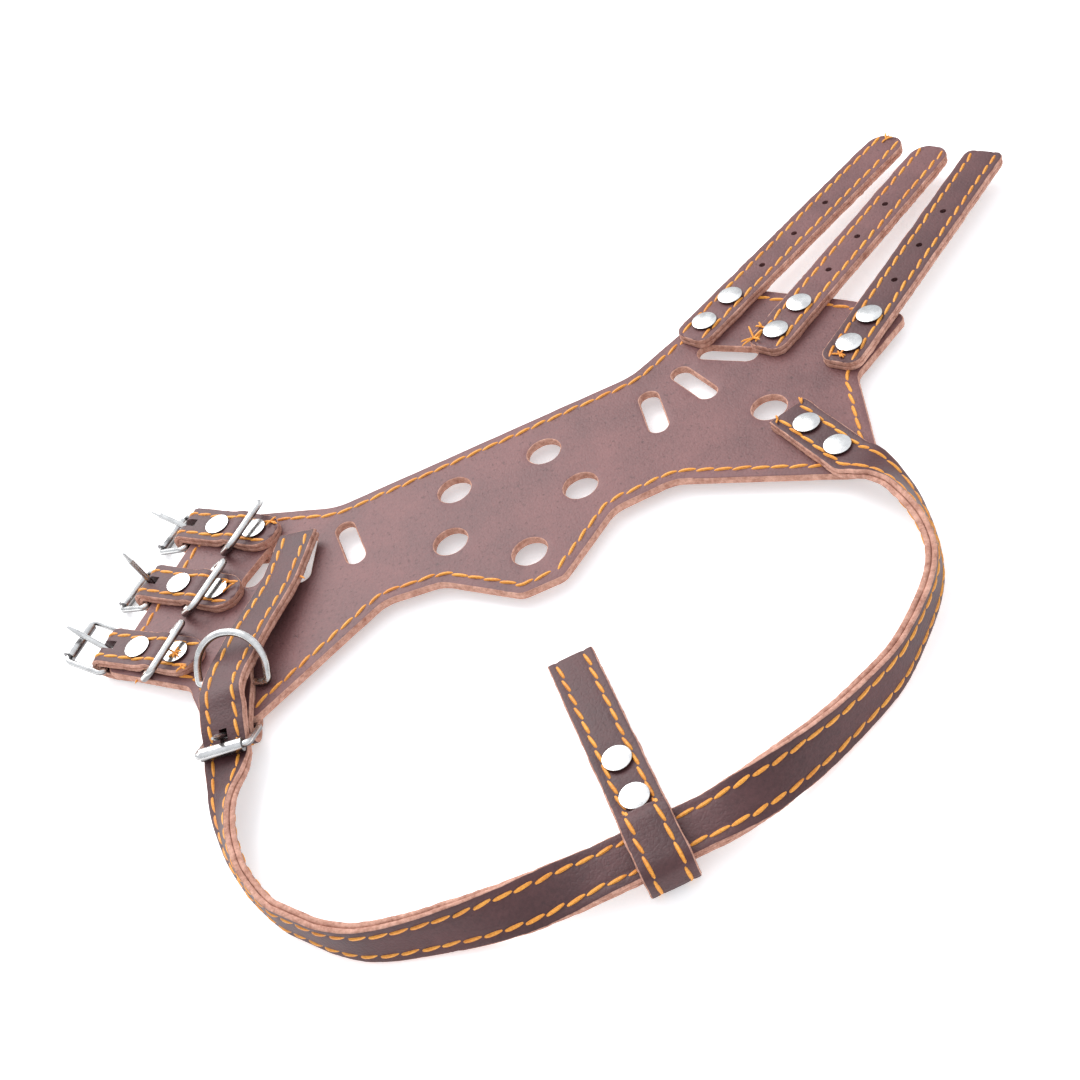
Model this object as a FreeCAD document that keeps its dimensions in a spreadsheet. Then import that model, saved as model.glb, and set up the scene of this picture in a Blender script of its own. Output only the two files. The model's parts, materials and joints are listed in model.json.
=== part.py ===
import FreeCAD
import Part
import math
import os
import Sketcher
from FreeCAD import Placement, Rotation, Vector

# A leather muzzle harness laid out on a table. Millimetres, +Z up, table at z = 0.
# X runs along the panel from the buckle end to the billet end, and Y from the neck strap to the panel.

sizes = {
    "panelThick": 3.0,          # single ply of the panel
    "panelReach": 149.5,        # from the origin to the billet end's corner
    "hornGrowth": 0.0,          # extra length of both horns
    "plyThick": 1.8,            # one of a strap's two plies
    "strapWidth": 15.0,
    "ventRadius": 6.0,
    "slotWidth": 7.0,
    "slotLength": 22.5,
    "postRadius": 1.6,
    "capRadius": 4.5,
    "capThick": 1.0,
    "holeRadius": 1.15,         # punched prong holes
    "holePitch": 19.5,
    "billetLength": 119.0,      # of the two shorter billets
    "tabLength": 40.0,          # heel bar to round end
    "chapeLength": 34.0,
    "heelGap": 2.8,             # panel edge to heel bar centre
    "foldClear": 0.3,           # heel bar to the leather folded round it
    "frameWire": 1.1,           # radius
    "frameClear": 0.4,          # strap edge to the side wire
    "frameReach": 14.2,         # heel bar centre to front bar centre
    "frameBend": 1.8,
    "rollerRadius": 2.2,
    "rollerClear": 0.08,
    "prongReach": 19.0,
    "prongWire": 1.0,
    "prongEye": 2.3,            # outer radius of the eye round the heel bar
    "prongSlot": 3.2,           # width of the slot in the fold
    "slotInward": 2.9,          # how far that slot runs in from the heel bar
    "keeperWire": 1.3,
    "keeperClear": 2.2,         # strap edge to the keeper's side
    "keeperReach": 9.0,
    "keeperBend": 3.0,
    "neckKeeperClear": 4.2,
    "neckKeeperReach": 17.0,
    "tunnelClear": 0.06,
    "plyGap": 0.4,              # slack between a strap and what it passes
    "loopLength": 78.0,         # slide loop, neck strap to free end
}

doc = FreeCAD.newDocument("MuzzleHarness")
sheet = doc.addObject("Spreadsheet::Sheet", "Sizes")
for row, (alias, value) in enumerate(sizes.items(), start=1):
    sheet.set(f"A{row}", alias)
    sheet.set(f"B{row}", str(value))
    sheet.setAlias(f"B{row}", alias)
doc.recompute()


def size(alias):
    return float(sheet.get(alias))


panelThick = size("panelThick")
plyThick = size("plyThick")
strapWidth = size("strapWidth")
capThick = size("capThick")
strapThick = 2 * plyThick
halfWidth = strapWidth / 2
panelBottom = capThick + strapThick
panelTop = panelBottom + panelThick
upperTop = panelTop + strapThick
heelHeight = panelBottom + panelThick / 2
frameWidth = strapWidth + 2 * (size("frameWire") + size("frameClear"))      # between side wire centres
keeperWidth = strapWidth + 2 * (size("keeperWire") + size("keeperClear"))
neckKeeperWidth = strapWidth + 2 * (size("keeperWire") + size("neckKeeperClear"))
reachGrowth = size("panelReach") - 149.5
nodes = []


# ---- helpers ----

def heading(degrees):
    return Vector(math.cos(math.radians(degrees)), math.sin(math.radians(degrees)), 0)


def place(origin, yaw, pitch=0.0):
    """Local X points along yaw and rises by pitch degrees."""
    return Placement(origin, Rotation(Vector(0, 0, 1), yaw) * Rotation(Vector(0, 1, 0), -pitch))


def newBody(label, placement=Placement()):
    body = doc.addObject("PartDesign::Body", label)
    body.Placement = placement
    nodes.append(body)
    return body


def newSketch(body, role, edges, name):
    sketch = body.newObject("Sketcher::SketchObject", name)
    plane = next(item for item in body.Origin.OriginFeatures if item.Role == role)
    sketch.AttachmentSupport = [(plane, "")]
    sketch.MapMode = "FlatFace"
    sketch.addGeometry(edges, False)
    return sketch


def bindRadius(sketch, index, radius, expression):
    sketch.addConstraint(Sketcher.Constraint("Radius", index, radius))
    name = f"radius{index}"
    sketch.renameConstraint(sketch.ConstraintCount - 1, name)
    sketch.setExpression(f"Constraints.{name}", expression)


def pad(body, sketch, expression, middle=False):
    feature = body.newObject("PartDesign::Pad", body.Name + "Pad")
    feature.Profile = sketch
    feature.Midplane = middle
    feature.setExpression("Length", expression)
    return feature


def cutThrough(body, edges, role="XY_Plane", name="Cut"):
    sketch = newSketch(body, role, edges, body.Name + name + "Sketch")
    feature = body.newObject("PartDesign::Pocket", body.Name + name)
    feature.Profile = sketch
    feature.Type = "ThroughAll"
    feature.Midplane = True
    return feature


def line(first, second):
    return Part.LineSegment(Vector(*first), Vector(*second))


def circle(centre, radius):
    return Part.Circle(Vector(centre[0], centre[1], 0), Vector(0, 0, 1), radius)


def roundedLoop(corners):
    """Closed outline of straight sides, each corner (x, y, radius) rounded."""
    stops = []
    count = len(corners)
    for index, (x, y, radius) in enumerate(corners):
        here = Vector(x, y, 0)
        before = Vector(*corners[index - 1][:2], 0) - here
        after = Vector(*corners[(index + 1) % count][:2], 0) - here
        before.normalize()
        after.normalize()
        half = before.getAngle(after) / 2
        setback = radius / math.tan(half)
        bisector = (before + after).normalize()
        middle = here + bisector * (radius / math.sin(half) - radius)
        stops.append((here + before * setback, middle, here + after * setback))
    edges = []
    for index, (start, middle, finish) in enumerate(stops):
        edges.append(Part.Arc(start, middle, finish))
        edges.append(Part.LineSegment(finish, stops[(index + 1) % count][0]))
    return edges


def slotLoop(centre, angle, length, width):
    along = heading(angle)
    across = heading(angle + 90)
    radius = width / 2
    reach = length / 2 - radius
    middle = Vector(*centre, 0)
    ends = []
    for sign in (1, -1):
        hub = middle + along * (sign * reach)
        ends.append((hub - across * (sign * radius), hub + along * (sign * radius), hub + across * (sign * radius)))
    first, second = ends
    return [Part.Arc(*first), Part.LineSegment(first[2], second[0]),
            Part.Arc(*second), Part.LineSegment(second[2], first[0])]


def ribbon(route, near, far):
    """Closed outline between two offsets, left of an open route of (x, y, bend radius) points."""
    points = [Vector(x, y, 0) for x, y, radius in route]
    sides = [(points[i + 1] - points[i]).normalize() for i in range(len(points) - 1)]
    normals = [Vector(-side.y, side.x, 0) for side in sides]

    def edge(offset):
        chain = [points[0] + normals[0] * offset]
        parts = []
        for index in range(1, len(points) - 1):
            radius = route[index][2]
            turn = math.copysign(1, sides[index - 1].cross(sides[index]).z)
            half = sides[index - 1].getAngle(sides[index]) / 2
            setback = radius * math.tan(half)
            start = points[index] - sides[index - 1] * setback
            finish = points[index] + sides[index] * setback
            hub = start + normals[index - 1] * (turn * radius)
            scale = (radius - turn * offset) / radius
            outward = (points[index] - hub).normalize()
            stops = (hub + (start - hub) * scale, hub + outward * (radius * scale), hub + (finish - hub) * scale)
            parts.append(("line", chain[-1], stops[0]))
            parts.append(("arc",) + stops)
            chain.append(stops[2])
        parts.append(("line", chain[-1], points[-1] + normals[-1] * offset))
        return parts

    lower = edge(near)
    upper = edge(far)
    outline = lower + [("line", lower[-1][-1], upper[-1][-1])] + upper + [("line", lower[0][1], upper[0][1])]
    return [Part.LineSegment(*item[1:]) if item[0] == "line" else Part.Arc(*item[1:]) for item in outline]


def tipCut(x, outward):
    """Corners outside a round tip at x whose tip points along outward (+1 or -1)."""
    hub = x - outward * halfWidth
    edge = halfWidth + 1
    far = x + outward
    nose = Part.Arc(Vector(hub, halfWidth, 0), Vector(hub + outward * halfWidth, 0, 0), Vector(hub, -halfWidth, 0))
    return [nose, line((hub, -halfWidth), (hub, -edge)), line((hub, -edge), (far, -edge)),
            line((far, -edge), (far, edge)), line((far, edge), (hub, edge)), line((hub, edge), (hub, halfWidth))]


def box(low, high):
    x, y = low
    right, top = high
    return [line((x, y), (right, y)), line((right, y), (right, top)),
            line((right, top), (x, top)), line((x, top), (x, y))]


def wireBody(label, placement, edges, start, wireAlias):
    """A closed loop of round wire; start is a point on a side that runs along local Y."""
    body = newBody(label, placement)
    spine = newSketch(body, "XY_Plane", edges, label + "Spine")
    section = newSketch(body, "XZ_Plane", [circle(start, size(wireAlias))], label + "Section")
    bindRadius(section, 0, size(wireAlias), "Sizes." + wireAlias)
    doc.recompute()
    pipe = body.newObject("PartDesign::AdditivePipe", label + "Pipe")
    pipe.Profile = section
    pipe.Spine = (spine, [])
    return body


def feature(label, shape):
    item = doc.addObject("Part::Feature", label)
    item.Shape = shape
    nodes.append(item)
    return item


def cylinder(radius, height, base, axis=Vector(0, 0, 1)):
    return Part.makeCylinder(radius, height, base, axis)


# ---- places on the panel ----

tabRivets = (13.4, 30.4)        # from the heel bar
keeperSeat = 21.9               # keeper wire, from the heel bar

# name, root end, heading, rivets from the root end, extra length, radius of the tip's corners
billets = [
    ("1", (80.0 + reachGrowth, 35.5), 31.5, (9.5, 24.5), 7.0, 6.8),
    ("2", (100.5 + reachGrowth, 14.5), 35.6, (9.0, 24.0), 0.0, 6.8),
    ("3", (119.0 + reachGrowth, -8.5), 40.0, (9.3, 24.3), 0.0, 3.5),
]
firstHole = 43.5                # from the root end
hingeFromRivet = 12.5           # bend line past the second rivet, clear of the panel

# name, panel edge on the tab's centre line, heading of the buckle, frame tilt, prong angle, keeper tilt
tabs = [
    ("1", (-110.8 - reachGrowth, 51.5), 140.5, -15.0, 28.0, 40.0),
    ("2", (-128.0 - reachGrowth, 29.0), 140.0, -15.0, 75.0, 36.0),
    ("3", (-145.9 - reachGrowth, 5.3), 142.6, 20.0, 41.0, 40.0),
]

chapeHeading = -100.0
chapeEdge = (-109.0 - reachGrowth, -50.6 - size("hornGrowth"))
chapeRivets = (11.5, 26.5)
chapeKeeperSeat = 19.0
neckEnd = (96.2 + reachGrowth, -21.0)
neckHeading = -73.7
neckRivets = (10.7, 26.7)
foldRadius = panelThick / 2


def onLine(origin, yaw, distance):
    return Vector(*origin, 0) + heading(yaw) * distance


def rivetPoints():
    points = {"billet": [], "tab": [], "chape": [], "neck": []}
    for name, root, yaw, distances, extra, tipRadius in billets:
        points["billet"] += [onLine(root, yaw, distance) for distance in distances]
    for name, edge, yaw, frameTilt, prongAngle, keeperTilt in tabs:
        points["tab"] += [onLine(edge, yaw, size("heelGap") - distance) for distance in tabRivets]
    points["chape"] = [onLine(chapeEdge, chapeHeading, size("heelGap") - distance) for distance in chapeRivets]
    points["neck"] = [onLine(neckEnd, neckHeading, distance) for distance in neckRivets]
    return points


rivets = rivetPoints()


# ---- panel ----

def panelOutline():
    grow = reachGrowth
    horn = size("hornGrowth")
    right = [(7.5, -48.3, 6), (31, -27.6, 10), (53, -26.5, 12), (106 + grow, -58.5 - horn, 4),
             (114.5 + grow, -52 - horn, 4), (123.5 + grow, -14.5, 6), (149.5 + grow, 3.5, 4),
             (137.7 + grow, 22.5, 30), (105 + grow, 57.5, 5), (56, 33.5, 20)]
    left = [(-59, 31.4, 20), (-107.2 - grow, 56.2, 4), (-151.5 - grow, -2, 3.5), (-122.5 - grow, -26, 6),
            (-118 - grow, -49.0 - horn, 4), (-101 - grow, -52.0 - horn, 5), (-51, -24.8, 12), (-31, -27.6, 10),
            (-7.5, -48.3, 6)]
    return roundedLoop(right + left)


def makePanel():
    body = newBody("panel", Placement(Vector(0, 0, panelBottom), Rotation()))
    outline = newSketch(body, "XY_Plane", panelOutline(), "PanelOutline")
    pad(body, outline, "Sizes.panelThick")
    vents = [(17.0, 13.9), (-17.0, 13.9), (23.9, -10.6), (-23.9, -10.6), (0.0, -30.9), (92.4, -12.0)]
    ventSketch = cutThrough(body, [circle(centre, size("ventRadius")) for centre in vents], name="Vents").Profile[0]
    for index in range(len(vents)):
        bindRadius(ventSketch, index, size("ventRadius"), "Sizes.ventRadius")
    slots = [((57.3, 10.0), 85), ((-57.3, 10.0), 95), ((74.5, 15.8), 108), ((-74.5, 12.0), 72),
             ((90.0, 23.5), 140), ((-89.0, 18.2), 43)]
    edges = []
    for centre, angle in slots:
        edges += slotLoop(centre, angle, size("slotLength"), size("slotWidth"))
    cutThrough(body, edges, name="Slots")
    posts = [point for group in rivets.values() for point in group]
    cutThrough(body, [circle(point, size("postRadius")) for point in posts], name="RivetHoles")


# ---- billets ----

def makeBillet(name, root, yaw, distances, extra, tipRadius):
    origin = Vector(*root, 0)
    bend = distances[1] + hingeFromRivet
    gap = size("foldClear")
    length = size("billetLength") + extra
    holes = [firstHole + index * size("holePitch") for index in range(3)]
    for ply, level in (("lining", panelTop), ("face", panelTop + plyThick)):
        place1 = place(origin + Vector(0, 0, level), yaw)
        body = newBody(f"billet_{name}_root_{ply}", place1)
        outline = roundedLoop([(0, -halfWidth, 5), (bend, -halfWidth, 0.2), (bend, halfWidth, 0.2),
                               (0, halfWidth, 5)])
        pad(body, newSketch(body, "XY_Plane", outline, body.Name + "Outline"), "Sizes.plyThick")
        cutThrough(body, [circle((distance, 0), size("postRadius")) for distance in distances], name="RivetHoles")
        body = newBody(f"billet_{name}_free_{ply}", place1)
        start = bend + gap
        outline = roundedLoop([(start, -halfWidth, 0.2), (length, -halfWidth, tipRadius),
                               (length, halfWidth, tipRadius), (start, halfWidth, 0.2)])
        pad(body, newSketch(body, "XY_Plane", outline, body.Name + "Outline"), "Sizes.plyThick")
        cutThrough(body, [circle((x, 0), size("holeRadius")) for x in holes], name="ProngHoles")


# ---- folded tabs and the neck chape ----

def makeFold(label, edge, yaw, length, distances, seat, wire, keeperYaw):
    """Local X runs from the heel bar outward; the strap lies above and below the panel behind it."""
    heel = onLine(edge, yaw, size("heelGap")) + Vector(0, 0, heelHeight)
    radius = foldRadius + plyThick
    back = -length
    bend = radius - 0.01
    route = [(back, -radius, 0), (radius, -radius, bend), (radius, radius, bend), (back, radius, 0)]
    for ply, near, far in (("lining", plyThick, 0.0), ("face", 0.0, -plyThick)):
        body = newBody(f"{label}_{ply}", place(heel, yaw))
        profile = newSketch(body, "XZ_Plane", ribbon(route, near, far), body.Name + "Profile")
        pad(body, profile, "Sizes.strapWidth", middle=True)
        cutThrough(body, tipCut(back, -1), name="RoundEnd")
        cutThrough(body, [circle((-distance, 0), size("postRadius")) for distance in distances], name="RivetHoles")
        reach = foldRadius + strapThick + 1
        half = size("prongSlot") / 2
        cutThrough(body, box((-size("slotInward"), -half), (reach, half)), name="ProngSlot")
        tunnelRadius = wire + size("tunnelClear")
        across = heading(keeperYaw - yaw)
        tunnel = newSketch(body, "XZ_Plane", [circle((0, 0), tunnelRadius)], body.Name + "TunnelSketch")
        tunnel.AttachmentOffset = Placement(Vector(-seat, panelThick / 2 + tunnelRadius + 0.05, 0),
                                            Rotation(Vector(0, 1, 0), math.degrees(math.atan2(across.y, across.x))))
        pocket = body.newObject("PartDesign::Pocket", body.Name + "Tunnel")
        pocket.Profile = tunnel
        pocket.Type = "ThroughAll"
        pocket.Midplane = True
    return heel


# ---- buckles ----

def makeBuckle(label, heel, yaw, tilt, prongAngle):
    reach = size("frameReach")
    half = frameWidth / 2
    bend = size("frameBend")
    corners = [(0, -half, bend), (reach, -half, bend), (reach, half, bend), (0, half, bend)]
    wireBody(label + "_frame", place(heel, yaw, tilt), roundedLoop(corners), (0, 0), "frameWire")

    roller = newBody(label + "_roller", place(heel, yaw, tilt))
    rings = [circle((reach, 0), size("rollerRadius")), circle((reach, 0), size("frameWire") + size("rollerClear"))]
    section = newSketch(roller, "XZ_Plane", rings, label + "RollerSection")
    bindRadius(section, 0, size("rollerRadius"), "Sizes.rollerRadius")
    bindRadius(section, 1, size("frameWire") + size("rollerClear"), "Sizes.frameWire + Sizes.rollerClear")
    rollerLength = "Sizes.strapWidth + 2 * (Sizes.frameWire + Sizes.frameClear - Sizes.frameBend) - 0.2"
    pad(roller, section, rollerLength, middle=True)

    prong = newBody(label + "_prong", place(heel, yaw, prongAngle))
    bore = size("frameWire") + size("rollerClear")
    eye = newSketch(prong, "XZ_Plane", [circle((0, 0), size("prongEye")), circle((0, 0), bore)], label + "Eye")
    bindRadius(eye, 0, size("prongEye"), "Sizes.prongEye")
    pad(prong, eye, "Sizes.prongSlot - 0.6", middle=True)
    start = size("prongEye") - 0.5
    tip = size("prongReach")
    wire = size("prongWire")
    half = [line((start, 0), (start, wire)), line((start, wire), (tip - 4, wire)),
            line((tip - 4, wire), (tip, 0.45)), line((tip, 0.45), (tip, 0)), line((tip, 0), (start, 0))]
    profile = newSketch(prong, "XY_Plane", half, label + "ProngProfile")
    shaft = prong.newObject("PartDesign::Revolution", label + "ProngShaft")
    shaft.Profile = profile
    shaft.ReferenceAxis = (profile, ["H_Axis"])
    shaft.Angle = 360


# ---- keepers ----

def makeKeeper(label, seat, yaw, tilt, width, reach, wireAlias, bend):
    half = width / 2
    corners = [(0, -half, 1.6), (reach, -half, bend), (reach, half, bend), (0, half, 1.6)]
    wireBody(label, place(seat, yaw, tilt), roundedLoop(corners), (0, 0), wireAlias)


def keeperPoint(heel, yaw, distance, wire):
    height = panelTop - heelHeight + wire + size("tunnelClear") + 0.05
    return heel - heading(yaw) * distance + Vector(0, 0, height)


# ---- neck strap ----

slideMiddle = (4.0, -160.1)
slideHeading = 3.0
slideHalf = 17.0
slideLean = 12.0
standing = halfWidth + 0.8


def buckleClimb(heel, rollerCentre):
    """Stations (distance out from the heel bar, height, lean) from under the roller to over the fold."""
    rollerAway = size("rollerRadius") + plyThick + size("plyGap")
    foldAway = foldRadius + strapThick + plyThick + size("plyGap")
    span = Vector(rollerCentre.x - heel.x, rollerCentre.y - heel.y, 0).Length
    rise = rollerCentre.z - heel.z
    slope = math.asin((rollerAway + foldAway) / math.hypot(span, rise)) - math.atan2(rise, span)
    leave = (span - rollerAway * math.sin(slope), rollerCentre.z - rollerAway * math.cos(slope))
    meet = (foldAway * math.sin(slope), heel.z + foldAway * math.cos(slope))
    centre = ((leave[0] + meet[0]) / 2, (leave[1] + meet[1]) / 2)
    lowest = rollerCentre.z - rollerAway
    highest = heel.z + foldAway
    return [(span + 6.0, lowest - 0.4, 14), (span + 0.4, lowest - 0.05, 0), (leave[0] - 0.1, leave[1], 0),
            (centre[0], centre[1], 0), (meet[0] - 0.3, meet[1] + 0.1, 0), (-2.5, highest + 1.1, 0),
            (-8.5, highest + 3.0, 4)]


def neckStations(heel, rollerCentre):
    """Hand-chosen stations from the right horn round to the tail: x, y, height of the middle, lean outward."""
    lowered = panelTop + plyThick
    rest = panelBottom + size("plyGap") + halfWidth * math.sin(math.radians(slideLean))
    rest += plyThick * math.cos(math.radians(slideLean))
    start = onLine(neckEnd, neckHeading, 0)
    held = onLine(neckEnd, neckHeading, neckRivets[1] + 6.0)
    right = [(108.2, -58.0, lowered + 1.3, 10), (111.0, -63.6, lowered + 0.7, 32), (112.9, -70.2, 9.0, 50),
             (113.5, -78.7, 8.7, 63), (113.3, -88.1, standing, 75), (111.85, -97.6, standing, 84),
             (108.9, -106.9, standing, 90), (102.7, -116.8, standing, 93), (89.4, -131.0, standing, 90),
             (79.7, -138.3, standing, 84), (59.7, -148.2, standing, 74), (40.0, -155.0, 8.4, 52)]
    middle = [onLine(slideMiddle, slideHeading, offset) for offset in (slideHalf, 0, -slideHalf)]
    front = [(point.x, point.y, rest, slideLean) for point in middle]
    left = [(-38.0, -160.6, 8.4, 50), (-60, -157.3, standing, 76), (-79.8, -152.0, standing, 87),
            (-91.7, -143.8, standing, 92), (-102.4, -132.4, standing, 92), (-110.2, -117.4, standing, 84),
            (-113.05, -107.8, standing, 76), (-114.8, -98.5, standing, 66), (-115.2, -89.2, 8.4, 54),
            (-114.6, -80.3, 8.2, 36)]
    climb = []
    for distance, height, lean in buckleClimb(heel, rollerCentre):
        point = heel + heading(chapeHeading) * distance
        climb.append((point.x + reachGrowth, point.y, height, lean))
    clear = upperTop + capThick + size("plyGap") + plyThick
    tail = [(-105.2, -36.1, clear + 1.2, 4), (-101.7, -29.6, clear + 0.4, 4), (-95.0, -19.3, clear + 0.2, 6),
            (-90.0, -11.0, clear - 1.2, 7), (-83.8, -0.5, upperTop + 0.6, 8), (-78.6, 10.3, upperTop + 0.1, 7),
            (-73.7, 21.0, upperTop - 0.4, 6)]
    stations = [(start.x - reachGrowth, start.y, lowered, 0), (held.x - reachGrowth, held.y, lowered, 0)]
    stations += right + front + left + climb + tail
    spread = 90.0
    return [(x + reachGrowth * max(-1, min(1, x / spread)), y, z, lean) for x, y, z, lean in stations]


def smooth(stations, steps):
    """Rows between the stations on a Catmull-Rom curve, straight between the first two."""
    rows = [stations[0]]
    last = len(stations) - 1
    for index in range(1, last):
        before, here, after = stations[index - 1], stations[index], stations[index + 1]
        straight = here[2:] == after[2:]
        beyond = stations[min(index + 2, last)]
        spans = [math.dist(a[:3], b[:3]) or 1.0 for a, b in ((before, here), (here, after), (after, beyond))]
        for step in range(steps):
            t = step / steps
            row = []
            for axis in range(4):
                leaving = (after[axis] - before[axis]) / (spans[0] + spans[1]) * spans[1]
                arriving = (beyond[axis] - here[axis]) / (spans[1] + spans[2]) * spans[1]
                if straight:
                    leaving = arriving = after[axis] - here[axis]
                row.append((2 * t ** 3 - 3 * t ** 2 + 1) * here[axis] + (t ** 3 - 2 * t ** 2 + t) * leaving
                           + (3 * t ** 2 - 2 * t ** 3) * after[axis] + (t ** 3 - t ** 2) * arriving)
            rows.append(tuple(row))
    rows.append(stations[last])
    return rows


def strapFrames(rows):
    """Middle, half-width vector and grain normal at each row; outward is left of travel."""
    frames = []
    for index, (x, y, z, lean) in enumerate(rows):
        before = Vector(*rows[max(index - 1, 0)][:3])
        after = Vector(*rows[min(index + 1, len(rows) - 1)][:3])
        along = (after - before).normalize()
        outward = Vector(-along.y, along.x, 0).normalize()
        up = along.cross(outward * -1)
        if up.z < 0:
            up = up * -1
        angle = math.radians(lean)
        normal = up * math.cos(angle) + outward * math.sin(angle)
        across = outward * math.cos(angle) - up * math.sin(angle)
        frames.append((Vector(x, y, z), across * halfWidth, normal))
    return frames


def strapPly(frames, near, far):
    sections = []
    for middle, across, normal in frames:
        corners = [middle + across + normal * near, middle - across + normal * near,
                   middle - across + normal * far, middle + across + normal * far]
        sections.append(Part.makePolygon(corners + [corners[0]]))
    return Part.makeLoft(sections, True, True)


def makeNeckStrap(heel, rollerCentre, prongLine):
    frames = strapFrames(smooth(neckStations(heel, rollerCentre), 4))
    holes = [cylinder(size("postRadius"), 40, point) for point in rivets["neck"]]
    slot = Part.makeBox(30, 3.4, 8.4, Vector(-2, -1.7, -4.2))
    slot.Placement = prongLine
    holes.append(slot)
    for ply, near, far in (("lining", -plyThick, 0.0), ("face", 0.0, plyThick)):
        shape = strapPly(frames, near, far)
        for hole in holes:
            shape = shape.cut(hole)
        feature(f"neck_strap_{ply}", shape)


# ---- slide loop ----

def makeSlideLoop():
    lean = math.radians(slideLean)
    gap = size("plyGap")
    rest = panelBottom + gap + halfWidth * math.sin(lean) + plyThick * math.cos(lean)
    lower = capThick + plyThick
    rise = panelBottom + plyThick
    top = rest + halfWidth * math.sin(lean) + plyThick * math.cos(lean) + gap + plyThick
    nose = -(halfWidth * math.cos(lean) + plyThick * math.sin(lean) + gap + plyThick)
    noseTop = rest - halfWidth * math.sin(lean) + plyThick * math.cos(lean) + gap + plyThick
    crest = halfWidth * math.cos(lean)
    length = size("loopLength")
    lowerEnd = 40.0
    route = [(length, rise, 0), (12.4, rise, 2.5), (crest + 0.6, top + 0.4, 3.5), (nose, noseTop + 0.3, 2.4),
             (nose, lower, 2.4), (lowerEnd, lower, 0)]
    placement = place(Vector(*slideMiddle, 0), slideHeading + 90)
    loopRivets = (18.3, 33.1)
    for ply, near, far in (("lining", 0.0, plyThick), ("face", -plyThick, 0.0)):
        body = newBody(f"slide_loop_{ply}", placement)
        profile = newSketch(body, "XZ_Plane", ribbon(route, near, far), body.Name + "Profile")
        pad(body, profile, "Sizes.strapWidth", middle=True)
        cutThrough(body, [circle((x, 0), size("postRadius")) for x in loopRivets], name="RivetHoles")
    return placement, [placement.multVec(Vector(x, 0, 0)) for x in loopRivets]


# ---- rivets ----

def capShape(point, level, direction):
    """A domed cap of which the flat side sits at level."""
    radius = size("capRadius")
    thick = capThick
    edge = 0.35 * thick
    base = cylinder(radius, edge, Vector(point.x, point.y, level), Vector(0, 0, direction))
    sphere = (radius ** 2 + (thick - edge) ** 2) / (2 * (thick - edge))
    hub = Vector(point.x, point.y, level + direction * (thick - sphere))
    dome = Part.makeSphere(sphere, hub).common(
        cylinder(radius, thick, Vector(point.x, point.y, level + direction * edge), Vector(0, 0, direction)))
    return base.fuse(dome).removeSplitter()


def makeRivets(label, points, low, high):
    caps = []
    posts = []
    for point in points:
        caps += [capShape(point, high, 1), capShape(point, low, -1)]
        posts.append(cylinder(size("postRadius"), high - low, Vector(point.x, point.y, low)))
    feature(label + "_caps", Part.makeCompound(caps))
    feature(label + "_posts", Part.makeCompound(posts))


# ---- build ----

makePanel()
for billet in billets:
    makeBillet(*billet)

for name, edge, yaw, frameTilt, prongAngle, keeperTilt in tabs:
    wire = size("keeperWire")
    heel = makeFold(f"tab_{name}", edge, yaw, size("tabLength"), tabRivets, keeperSeat, wire, yaw)
    makeBuckle(f"buckle_{name}", heel, yaw, frameTilt, prongAngle)
    seat = keeperPoint(heel, yaw, keeperSeat, wire)
    makeKeeper(f"keeper_{name}", seat, yaw + 180, keeperTilt, keeperWidth, size("keeperReach"),
               "keeperWire", size("keeperBend"))

neckTilt = 30.0
neckProngAngle = 47.0
neckKeeperYaw = 64.0
neckKeeperTilt = 50.0
wire = size("keeperWire")
neckHeel = makeFold("neck_chape", chapeEdge, chapeHeading, size("chapeLength"), chapeRivets, chapeKeeperSeat,
                    wire, neckKeeperYaw - 180)
makeBuckle("neck_buckle", neckHeel, chapeHeading, neckTilt, neckProngAngle)
neckSeat = keeperPoint(neckHeel, chapeHeading, chapeKeeperSeat, wire)
makeKeeper("neck_keeper", neckSeat, neckKeeperYaw, neckKeeperTilt, neckKeeperWidth,
           size("neckKeeperReach"), "keeperWire", neckKeeperWidth / 2 - 0.5)

neckFrame = place(neckHeel, chapeHeading, neckTilt)
neckRoller = neckFrame.multVec(Vector(size("frameReach"), 0, 0))
makeNeckStrap(neckHeel, neckRoller, place(neckHeel, chapeHeading, neckProngAngle))
loopPlacement, loopRivetPoints = makeSlideLoop()

makeRivets("billet_rivet", rivets["billet"], panelBottom, upperTop)
makeRivets("tab_rivet", rivets["tab"], capThick, upperTop)
makeRivets("chape_rivet", rivets["chape"], capThick, upperTop)
makeRivets("neck_rivet", rivets["neck"], panelBottom, upperTop)
makeRivets("loop_rivet", loopRivetPoints, capThick, capThick + 2 * strapThick)

doc.recompute()
os.makedirs("parts", exist_ok=True)
for item in doc.Objects:
    if "Invalid" in item.State or "Error" in item.State:
        raise RuntimeError(item.Name + " failed")
for node in nodes:
    if node.Shape.isNull() or not node.Shape.isValid():
        raise RuntimeError(node.Label + " has no valid shape")
for node in nodes:
    node.Shape.exportStep(f"parts/{node.Label}.step")
print(len(nodes), "nodes")
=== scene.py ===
import json
import math
import random

import bpy
import numpy as np
from mathutils import Matrix, Vector, noise


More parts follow.
